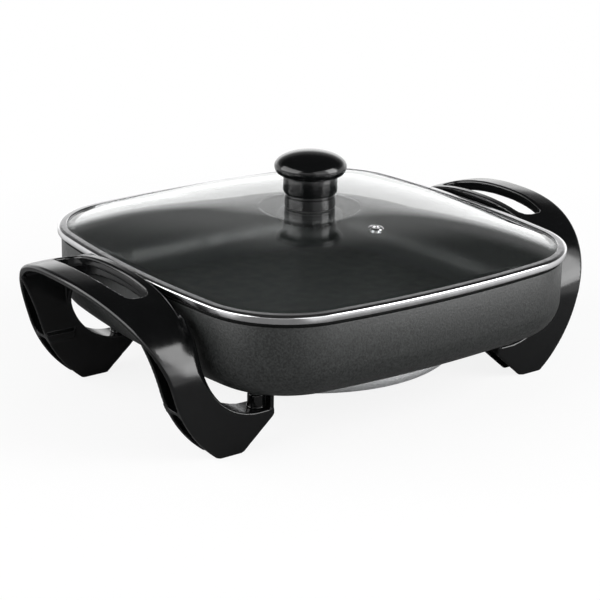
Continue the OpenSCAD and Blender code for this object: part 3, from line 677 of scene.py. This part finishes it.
def make_knob_collar(plastic):
    """The foot on the glass and the wider band under the cap, with a groove between them."""
    foot_z = span("knob_collar")[0][2]
    foot_r = COLLAR_R - FOOT_INSET
    groove_z = foot_z + FOOT_H
    groove_r = foot_r - GROOVE_DEPTH
    hollow_r, hollow_z = foot_r - KNOB_WALL, CAP_LOW_Z - KNOB_WALL
    profile = [(SCREW_HOLE_R, CAP_LOW_Z), (SCREW_HOLE_R, foot_z), (KNOB_STEM_R, foot_z),
               (KNOB_STEM_R, hollow_z), (hollow_r, hollow_z), (hollow_r, foot_z),
               (foot_r - 0.4, foot_z), (foot_r, foot_z + 0.4), (foot_r, groove_z - GROOVE_H - 0.4),
               (foot_r - 0.3, groove_z - GROOVE_H), (groove_r, groove_z - GROOVE_H + 0.2),
               (groove_r, groove_z - 0.2), (foot_r - 0.1, groove_z), (foot_r + 0.3, groove_z + 0.4),
               (COLLAR_R, groove_z + GROOVE_H), (COLLAR_R, CAP_Z - 0.5), (COLLAR_R - 0.3, CAP_Z - 0.1),
               (COLLAR_R - 0.8, CAP_Z), (KNOB_STEM_R, CAP_Z), (KNOB_STEM_R, CAP_LOW_Z)]
    solid = Solid().add_lathe(profile, COLLAR_STEPS, closed=True)
    collar = solid.build("knob_collar_polished", "lid", [plastic], 35)
    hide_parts("knob_collar")


# ---------------------------------------------------------------- handles
# A handle is a distance field in millimetres, below 0 inside, drawn for the right side with u = 0
# at the lid's edge. Its surface is taken off the field on a fine grid, so every edge comes out
# rounded.

HANDLE_SKIN = 3.5      # thickness of the outer skin
HANDLE_WEB = 3.0       # and of the walls inside
LEG_DEPTH = 20.0       # of a leg, along Y
GRIP_DEPTH = 14.0      # from the grip's top down to the opening
GRIP_H = 109.5
ARCH_SPRING_Z = 50.0   # the legs are straight up to here
ARCH_POWER = 2.3       # 2 would make an ellipse
ARCH_LEAST_Y = 1e-3    # keeps the arch's field defined in the middle plane
GRIP_REACH = 53.5      # the outer edge goes no further
GRIP_CLEARANCE = 2.5   # between the lid and the grip
GRIP_STEP_Z = 94.0     # above this the handle stays clear of the lid
GRIP_CROWN_R = 170.0
CROWN_U = 15.5
WING_RIM = 6.0         # height of the lip along the outer edge
LIP_LOW_Z = 64.0       # where the lip ends
WAIST_Z = 48.0         # where the leg is narrowest, seen along Y
WAIST_REACH = 22.2
WAIST_TILT = math.radians(16)
BULGE_R = 93.0
FLARE_R = 198.0
FOOT_W = 20.0
COVE_R = 41.5
LEDGE_Z = 26.0         # top of the leg's foot under the pan
WALL_GAP = 1.2         # from the lid's edge in to the handle beside the pan
SLOPE_Z = 21.2         # underside of the foot under the pan
SLOPE_END_DU = 1.6     # the slope's upper end, beside the pad and below SLOPE_Z
SLOPE_END_DZ = 2.2
SLOT_LEN = 97.0
SLOT_W = 24.0
SLOT_BAR = 7.0         # between the slot and the lid's side of the grip
SLOT_CORNER_R = 9.0
SLOT_BOW_R = 180.0
SLOT_CUT_DEPTH = 40.0
SLOT_WALL_DEPTH = 8.0  # of the wall around the slot, below the skin's outer face
SLOT_WALL_END = 6.0
WEB_Z = 34.0
WEB_REACH = 24.0
PAD_OVERHANG = 1.5     # of the pad, from the post
POST_INSET = 46.5      # from the lid's edge in to the screw
POST_R = 6.0
BOSS_CLEARANCE = 0.3   # around the pan's boss
HANDLE_HOLE_R = 2.3
PAN_UNDER_Z = 43.5
CAVITY_RUNOUT = 1.0    # how far the hollow is cut out past the pad's end

# Radii of the rounded edges
EDGE_R = 0.8
FINE_EDGE_R = 0.6
SKIN_EDGE_R = 0.7
CAVITY_R = 1.0
SLOPE_EDGE_R = 1.2
SLOPE_TOP_R = 1.5
LIP_END_R = 1.5
GRIP_EDGE_R = 2.0
SLOT_EDGE_R = 2.0
SLOT_BOW_EDGE_R = 3.0
COVE_EDGE_R = 2.5
WEB_FILLET_R = 4.0
HOLE_EDGE_R = 0.4
OUTER_EDGE_R = ((55.0, 85.0), (1.5, 3.5))   # heights, and the radius at them
INNER_EDGE_R = 1.0
INNER_EDGE_SOFT = 6.0                       # added at one height, and less above and below it
INNER_EDGE_SOFT_Z = 68.0
INNER_EDGE_SOFT_SPAN = 18.0

# The broad strip over arch and legs is slightly crowned across its width
STRIP_CROWN_R = 200.0
STRIP_MIDDLE_U = ((60.0, 105.0), (12.0, 30.0))   # heights, and the place of the middle at them
STRIP_SIDES = (-18.0, 30.0)                      # from the middle to where the crown levels out
STRIP_FADE_Z = (30.0, 60.0)                      # the crown is gone below and whole above

ARCH_A = span("right_handle")[1][1]
BULGE_U = WAIST_REACH - BULGE_R * math.cos(WAIST_TILT)
BULGE_Z = WAIST_Z + BULGE_R * math.sin(WAIST_TILT)
FLARE_U = WAIST_REACH + FLARE_R * math.cos(WAIST_TILT)
FLARE_Z = WAIST_Z - FLARE_R * math.sin(WAIST_TILT)
FOOT_IN_U = BULGE_U + math.sqrt(BULGE_R ** 2 - BULGE_Z ** 2) - FOOT_W
POST_U = -POST_INSET
PAD_U = POST_U - POST_R - PAD_OVERHANG
POST_Y = ARCH_A - LEG_DEPTH / 2
POST_Z = LEDGE_Z - HANDLE_WEB
POST_TOP_Z = PAN_UNDER_Z - BOSS_H
COVE_U = -WALL_GAP - COVE_R
COVE_Z = LEDGE_Z + COVE_R


def both(a, b, r):
    """Where a and b are both solid, with the edge between them rounded to radius r."""
    return np.minimum(np.maximum(a, b), -r) + np.hypot(np.maximum(a + r, 0), np.maximum(b + r, 0))


def either(a, b, r):
    """Where a or b is solid, with the corner between them filled to radius r."""
    return np.maximum(np.minimum(a, b), r) - np.hypot(np.maximum(r - a, 0), np.maximum(r - b, 0))


def arch(y, z, inset_y, inset_z=None):
    """The arch over two straight legs, seen along X: a little fuller than an ellipse."""
    a, b = ARCH_A - inset_y, GRIP_H - ARCH_SPRING_Z - (inset_y if inset_z is None else inset_z)
    y, z = np.maximum(np.abs(y), ARCH_LEAST_Y), np.maximum(z - ARCH_SPRING_Z, 0)
    p = ARCH_POWER
    reach = ((y / a) ** p + (z / b) ** p) ** (1 / p)
    slope_y, slope_z = (y / a / reach) ** (p - 1) / a, (z / b / reach) ** (p - 1) / b
    return (reach - 1) / np.hypot(slope_y, slope_z)


def wing(u, z, inset):
    """The outer edge of leg and grip, seen along Y: a bulge below the waist, a flare above."""
    above = (u - WAIST_REACH) * math.sin(WAIST_TILT) + (z - WAIST_Z) * math.cos(WAIST_TILT) > 0
    bulge = np.hypot(u - BULGE_U, z - BULGE_Z) - BULGE_R
    flare = FLARE_R - np.hypot(u - FLARE_U, z - FLARE_Z)
    return both(np.where(above, flare, bulge) + inset, u - GRIP_REACH + inset, GRIP_EDGE_R)


def crown(u, z, inset):
    """A large arc over the grip, seen along Y."""
    return np.hypot(u - CROWN_U, z - GRIP_H + GRIP_CROWN_R) - GRIP_CROWN_R + inset


def cove(u, z, grow):
    """The room of the pan and the hollow below it, grown by a wall."""
    hollow = np.hypot(u - COVE_U, z - COVE_Z) - COVE_R
    below_pan = np.maximum(u - COVE_U, LEDGE_Z - z)
    beside_pan = np.maximum(u + WALL_GAP, COVE_Z - z)
    beside_lid = np.maximum(u - GRIP_CLEARANCE, GRIP_STEP_Z - z)
    room = either(np.minimum(np.minimum(hollow, below_pan), beside_pan), beside_lid, COVE_EDGE_R)
    return room - grow


def slope(u, z):
    """The slanting cut from the foot up to the pad."""
    run, rise = PAD_U + SLOPE_END_DU - FOOT_IN_U, SLOPE_Z - SLOPE_END_DZ
    line = ((u - FOOT_IN_U) * rise - z * run) / math.hypot(run, rise)
    return both(line, z - SLOPE_Z, SLOPE_TOP_R)


def slot(u, y, grow):
    """The finger slot, seen from above."""
    w, l, r = SLOT_W / 2 + grow, SLOT_LEN / 2 + grow, SLOT_CORNER_R + grow
    middle = GRIP_CLEARANCE + SLOT_BAR + SLOT_W / 2
    side, end = np.abs(u - middle) - w + r, np.abs(y) - l + r
    box = np.hypot(np.maximum(side, 0), np.maximum(end, 0)) + np.minimum(np.maximum(side, end), 0) - r
    bow = np.hypot(u - middle - w + grow + SLOT_BOW_R, y) - SLOT_BOW_R - grow
    return both(box, bow, SLOT_BOW_EDGE_R)


def strip_crown(u, z):
    """How far the strip lies below the plain arch: more, the further from its middle."""
    across = np.clip(u - np.interp(z, *STRIP_MIDDLE_U), *STRIP_SIDES)
    return across ** 2 / (2 * STRIP_CROWN_R) * np.interp(z, STRIP_FADE_Z, (0.0, 1.0))


def wall(distance):
    """A wall of the usual thickness, from where the distance is 0."""
    return np.abs(distance - HANDLE_WEB / 2) - HANDLE_WEB / 2


def leg(y):
    """Both legs, seen from above."""
    return np.abs(np.abs(y) - POST_Y) - LEG_DEPTH / 2


def bore(u, y):
    """Distance from the middle of the nearer screw, seen from above."""
    return np.hypot(u - POST_U, np.abs(y) - POST_Y)


def handle_form(u, y, z):
    """The handle's outer form, filled."""
    side = both(both(wing(u, z, 0), -slope(u, z), SLOPE_EDGE_R), PAD_U - u, EDGE_R)
    softer = INNER_EDGE_SOFT * np.exp(-((z - INNER_EDGE_SOFT_Z) / INNER_EDGE_SOFT_SPAN) ** 2)
    form = both(arch(y, z, 0) + strip_crown(u, z), side, np.interp(z, *OUTER_EDGE_R))
    return both(both(form, -cove(u, z, 0), INNER_EDGE_R + softer), -z, FINE_EDGE_R)


def hollowed(form, u, y, z):
    """The form without the room inside its skin and the opening between the legs."""
    cavity = both(arch(y, z, HANDLE_SKIN), -cove(u, z, HANDLE_WEB), CAVITY_R)
    cavity = np.maximum(both(cavity, crown(u, z, HANDLE_SKIN), CAVITY_R), PAD_U - CAVITY_RUNOUT - u)
    opening = arch(y, z, LEG_DEPTH, GRIP_DEPTH)
    return both(both(form, -cavity, SKIN_EDGE_R), -opening, EDGE_R)


def with_walls(body, form, u, y, z):
    """Adds the legs' inner walls, the lip along the outer edge, the slot's wall and a web in each leg."""
    body = either(body, both(form, wall(np.abs(y) - ARCH_A + LEG_DEPTH), EDGE_R), EDGE_R)
    lip = both(both(form, -arch(y, z, HANDLE_SKIN, WING_RIM), EDGE_R), -wing(u, z, HANDLE_WEB), FINE_EDGE_R)
    body = either(body, both(lip, LIP_LOW_Z - z, LIP_END_R), EDGE_R)
    beside_slot = np.maximum(slot(u, y, HANDLE_WEB), -arch(y, z, SLOT_WALL_DEPTH))
    beside_slot = np.maximum(beside_slot, GRIP_H - SLOT_WALL_DEPTH - SLOT_WALL_END - z)
    body = either(body, both(form, beside_slot, EDGE_R), EDGE_R)
    web = np.maximum(np.maximum(wall(z - WEB_Z), leg(y)), WAIST_REACH - WEB_REACH - u)
    return np.maximum(either(body, both(form, web, EDGE_R), WEB_FILLET_R), form)


def with_mounts(body, u, y, z):
    """Adds the pad at the end of each leg and the post that the screw goes through."""
    pad = both(np.maximum(wall(u - PAD_U), leg(y)), np.maximum(SLOPE_Z - z, z - PAN_UNDER_Z), EDGE_R)
    post = both(bore(u, y) - POST_R, np.maximum(POST_Z - z, z - POST_TOP_Z), FINE_EDGE_R)
    return either(either(body, pad, FINE_EDGE_R), post, EDGE_R)


def handle_field(u, y, z):
    """The whole handle, with the finger slot, the screw holes and the room of the pan's bosses."""
    form = handle_form(u, y, z)
    body = with_walls(hollowed(form, u, y, z), form, u, y, z)
    body = with_mounts(body, u, y, z)
    finger_slot = np.maximum(slot(u, y, 0), GRIP_H - SLOT_CUT_DEPTH - z)
    body = both(body, -finger_slot, SLOT_EDGE_R)
    boss_room = np.maximum(bore(u, y) - POST_R - BOSS_CLEARANCE, POST_TOP_Z - z)
    return both(body, -np.minimum(bore(u, y) - HANDLE_HOLE_R, boss_room), HOLE_EDGE_R)


GRID_STEP = 1.15
GRID_MARGIN = 2      # grid steps around the shape
GRADIENT_STEP = 0.04
PULL_STEPS = 4       # moves of each point onto the surface
LEAST_SLOPE = 0.5    # a flatter field doesn't make a move longer
CELL_CORNERS = [(i, j, k) for i in (0, 1) for j in (0, 1) for k in (0, 1)]
CELL_EDGES = [(a, b) for a in range(8) for b in range(a + 1, 8)
              if sum(abs(p - q) for p, q in zip(CELL_CORNERS[a], CELL_CORNERS[b])) == 1]


def net_points(values, cells):
    """One point in each cell that the surface crosses: the mean of its edge crossings."""
    corner = np.array(CELL_CORNERS)
    at = [values[tuple((cells + c).T)] for c in corner]
    total, count = np.zeros((len(cells), 3)), np.zeros(len(cells))
    for a, b in CELL_EDGES:
        crossed = (at[a] < 0) != (at[b] < 0)
        share = at[a][crossed] / (at[a][crossed] - at[b][crossed])
        total[crossed] += corner[a] + share[:, None] * (corner[b] - corner[a])
        count[crossed] += 1
    return cells + total / count[:, None]


def net_faces(inside, index):
    """A quad around every grid edge whose two ends differ."""
    faces = []
    for axis in range(3):
        one, two = (axis + 1) % 3, (axis + 2) % 3
        low = np.take(inside, range(inside.shape[axis] - 1), axis)
        high = np.take(inside, range(1, inside.shape[axis]), axis)
        edges = np.argwhere(low != high)
        back_one, back_two = np.eye(3, dtype=int)[one], np.eye(3, dtype=int)[two]
        quad = [index[tuple((edges - shift).T)] for shift in (0, back_one, back_one + back_two, back_two)]
        quad = np.column_stack(quad)
        leaving = low[tuple(edges.T)]
        quad[~leaving] = quad[~leaving][:, ::-1]
        faces.append(quad)
    return np.vstack(faces)


def gradient(field, points):
    """The field's slope along each axis."""
    slopes = []
    for axis in np.eye(3) * GRADIENT_STEP:
        slopes.append((field(*(points + axis).T) - field(*(points - axis).T)) / (2 * GRADIENT_STEP))
    return np.column_stack(slopes)


def surface_of(field, low, high, step):
    """Points, quads and normals of the surface where the field is zero."""
    axes = [np.arange(a - GRID_MARGIN * step, b + (GRID_MARGIN + 0.5) * step, step)
            for a, b in zip(low, high)]
    values = field(axes[0][:, None, None], axes[1][None, :, None], axes[2][None, None, :])
    inside = values < 0
    counts = sum(inside[i:i + inside.shape[0] - 1, j:j + inside.shape[1] - 1, k:k + inside.shape[2] - 1]
                 .astype(np.int8) for i, j, k in CELL_CORNERS)
    cells = np.argwhere((counts > 0) & (counts < 8))
    index = np.full(counts.shape, -1)
    index[tuple(cells.T)] = np.arange(len(cells))
    start = np.array([a[0] for a in axes]) + net_points(values, cells) * step
    points = start.copy()
    for _ in range(PULL_STEPS):
        slopes = gradient(field, points)
        move = -field(*points.T) / np.maximum((slopes ** 2).sum(1), LEAST_SLOPE ** 2)
        points = start + np.clip(points + move[:, None] * slopes - start, -step, step)
    normals = gradient(field, points)
    normals /= np.maximum(np.linalg.norm(normals, axis=1, keepdims=True), 1e-6)
    return points, net_faces(inside, index), normals


def make_handles(plastic):
    """The right handle, and the left one as its mirror image."""
    low, high = (PAD_U, -ARCH_A, 0), (GRIP_REACH, ARCH_A, GRIP_H)
    points, faces, normals = surface_of(handle_field, low, high, GRID_STEP)
    points[:, 0] += LID_HALF
    for side, node in ((1, "right_handle"), (-1, "left_handle")):
        flip = np.array((side, 1, 1))
        quads = (faces if side > 0 else faces[:, ::-1]).tolist()
        piece = to_object(node + "_moulding", "base", points * flip, quads, [plastic], 180)
        piece.data.normals_split_custom_set_from_vertices((normals * flip).tolist())
        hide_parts(node)


# ---------------------------------------------------------------- room

WHITE = (1, 1, 1, 1)
FLOOR_R = 6.0
FLOOR_POINTS = 64
FLOOR_COLOR = (0.86, 0.86, 0.86, 1)
FLOOR_IN_MIRRORS = (0.2, 0.2, 0.2, 1)
FLOOR_FADE = (0.25, 0.6)              # the camera sees the floor turn white between these radii
FLOOR_GLOW = 0.86                     # how much of it is white already inside the first
MIRROR_FADE = (0.36, 0.5)             # mirrors and glass see it turn white between these radii
GAP_AZIMUTH = math.radians(-47)       # and not at all in a gap this way from the object
GAP_HALF_ANGLE = math.radians(28)
GAP_EDGE = math.radians(6)
WALL_TOP = (0.25, 0.34)               # sines of the elevations where the mirrored white wall ends
HAZE_TOP = (0.34, 0.55)               # and where the haze above it turns into the ceiling
HAZE = 0.24
CEILING = 0.03
SOFT_LIGHT = 0.3
LAMP_AIM = Vector((0, 0, 0.07))
# The soft boxes: name, azimuth and elevation in degrees, distance and size in metres, watts
LAMPS = (
    ("box_right", 18, 25, 1.5, (2.4, 1.2), 12),
    ("box_left", -108, 25, 1.5, (2.0, 1.2), 26),
    ("box_key", 38, 22, 1.45, (0.85, 1.3), 18),
    ("box_back", 140, 8, 1.7, (3.0, 0.45), 2.5))


def mirrored_white(graph, place, distance):
    """1 where mirrors and glass see the floor as white: far from the object and outside the gap."""
    towards = graph.add("VectorMath", place, operation="NORMALIZE").outputs["Vector"]
    along_gap = graph.add("VectorMath", towards, operation="DOT_PRODUCT")
    along_gap.inputs[1].default_value = direction(GAP_AZIMUTH, 0)
    inner, outer = (math.cos(GAP_HALF_ANGLE + edge) for edge in (-GAP_EDGE, GAP_EDGE))
    beside_gap = graph.smooth_range(along_gap.outputs["Value"], outer, inner, 1.0, 0.0)
    return graph.combined("MULTIPLY", graph.smooth_range(distance, *MIRROR_FADE), beside_gap)


def floor_paint():
    """Pale paint that takes the shadow, and turns into the white backdrop further out."""
    material = bpy.data.materials.new("floor_paint")
    graph = Graph(material)
    path = graph.add("LightPath").outputs
    place = graph.add("TexCoord").outputs["Object"]
    distance = graph.add("VectorMath", place, operation="LENGTH").outputs["Value"]
    white = graph.add("Emission").outputs["Emission"]
    paint, dull = graph.nodes["Principled BSDF"], graph.add("BsdfDiffuse")
    paint.inputs["Base Color"].default_value = FLOOR_COLOR
    paint.inputs["Roughness"].default_value = 0.9
    dull.inputs["Color"].default_value = FLOOR_IN_MIRRORS
    fade = graph.smooth_range(distance, *FLOOR_FADE, FLOOR_GLOW)
    pale = graph.mixed(fade, paint.outputs["BSDF"], white)
    near = graph.mixed(path["Is Glossy Ray"], paint.outputs["BSDF"], dull.outputs["BSDF"])
    far = graph.mixed(mirrored_white(graph, place, distance), near, white)
    bent = graph.combined("MAXIMUM", path["Is Glossy Ray"], path["Is Transmission Ray"])
    shown = graph.mixed(path["Is Camera Ray"], graph.mixed(bent, near, far), pale)
    graph.links.new(shown, graph.nodes["Material Output"].inputs["Surface"])
    return material


def make_floor():
    """A round floor at the object's feet, left out of the export."""
    mesh = bpy.data.meshes.new("floor")
    turn = np.linspace(0, 2 * math.pi, FLOOR_POINTS, endpoint=False)
    points = [(FLOOR_R * math.cos(a), FLOOR_R * math.sin(a), 0) for a in turn]
    mesh.from_pydata(points, [], [tuple(range(FLOOR_POINTS))])
    mesh.materials.append(floor_paint())
    floor = bpy.data.objects.new("floor", mesh)
    scene.collection.objects.link(floor)


def make_world():
    """White for the camera; mirrors and glass see a white wall that ends above, under a dim ceiling."""
    scene.world = bpy.data.worlds.new("room")
    graph = Graph(scene.world)
    path = graph.add("LightPath").outputs
    height = graph.add("SeparateXYZ", graph.add("TexCoord").outputs["Generated"]).outputs["Z"]
    wall_light = graph.smooth_range(height, *WALL_TOP, 1.0, 0.0)
    haze_light = graph.smooth_range(height, *HAZE_TOP, HAZE, CEILING)
    soft, seen, white = graph.nodes["Background"], graph.add("Background"), graph.add("Background")
    for background in (soft, seen, white):
        background.inputs["Color"].default_value = WHITE
    soft.inputs["Strength"].default_value = SOFT_LIGHT
    graph.links.new(graph.combined("MAXIMUM", wall_light, haze_light), seen.inputs["Strength"])
    bent = graph.combined("MAXIMUM", path["Is Glossy Ray"], path["Is Transmission Ray"])
    lit = graph.mixed(bent, soft.outputs["Background"], seen.outputs["Background"])
    shown = graph.mixed(path["Is Camera Ray"], lit, white.outputs["Background"])
    graph.links.new(shown, graph.nodes["World Output"].inputs["Surface"])


def make_lamp(name, azimuth, elevation, distance, size, watts):
    """A soft box that faces the object."""
    data = bpy.data.lights.new(name, "AREA")
    data.shape = "RECTANGLE"
    data.size, data.size_y = size
    data.energy = watts
    lamp = bpy.data.objects.new(name, data)
    lamp.visible_camera = False
    scene.collection.objects.link(lamp)
    towards = direction(math.radians(azimuth), math.radians(elevation))
    lamp.location = LAMP_AIM + distance * towards
    lamp.rotation_euler = towards.to_track_quat("Z", "Y").to_euler()


# ---------------------------------------------------------------- assembly

CAD_FINISHES = {
    "heater_plate": cast_aluminium, "heating_element": element_steel, "pin_insulators": ceramic,
    "pin_guard": guard_plastic, "knob_insert": brass, "knob_top_gasket": silicone,
    "knob_lower_gasket": silicone, "knob_lower_seat": dull_phenolic}


def dress_cad_nodes():
    """Gives each CAD node its finish: plated steel, where CAD_FINISHES names no other."""
    made = {finish: finish() for finish in dict.fromkeys((plated_steel, *CAD_FINISHES.values()))}
    for node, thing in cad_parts.items():
        thing.data.materials.clear()
        thing.data.materials.append(made[CAD_FINISHES.get(node, plated_steel)])


def main():
    make_camera()
    dress_cad_nodes()
    plastic, steel = phenolic(), polished_steel()
    post = (LID_HALF - POST_INSET, POST_Y)
    make_pan(coated_outside(), coated_inside(), painted_shade_seat_coat(), post, guard_boss_place())
    edge_z, flat_z = make_glass(clear_glass())
    make_rim(steel)
    make_vent(steel, edge_z, flat_z)
    knob_plastic = knob_phenolic()
    make_knob_cap(knob_plastic)
    make_knob_collar(knob_plastic)
    make_handles(plastic)
    make_floor()
    make_world()
    for lamp in LAMPS:
        make_lamp(*lamp)


main()
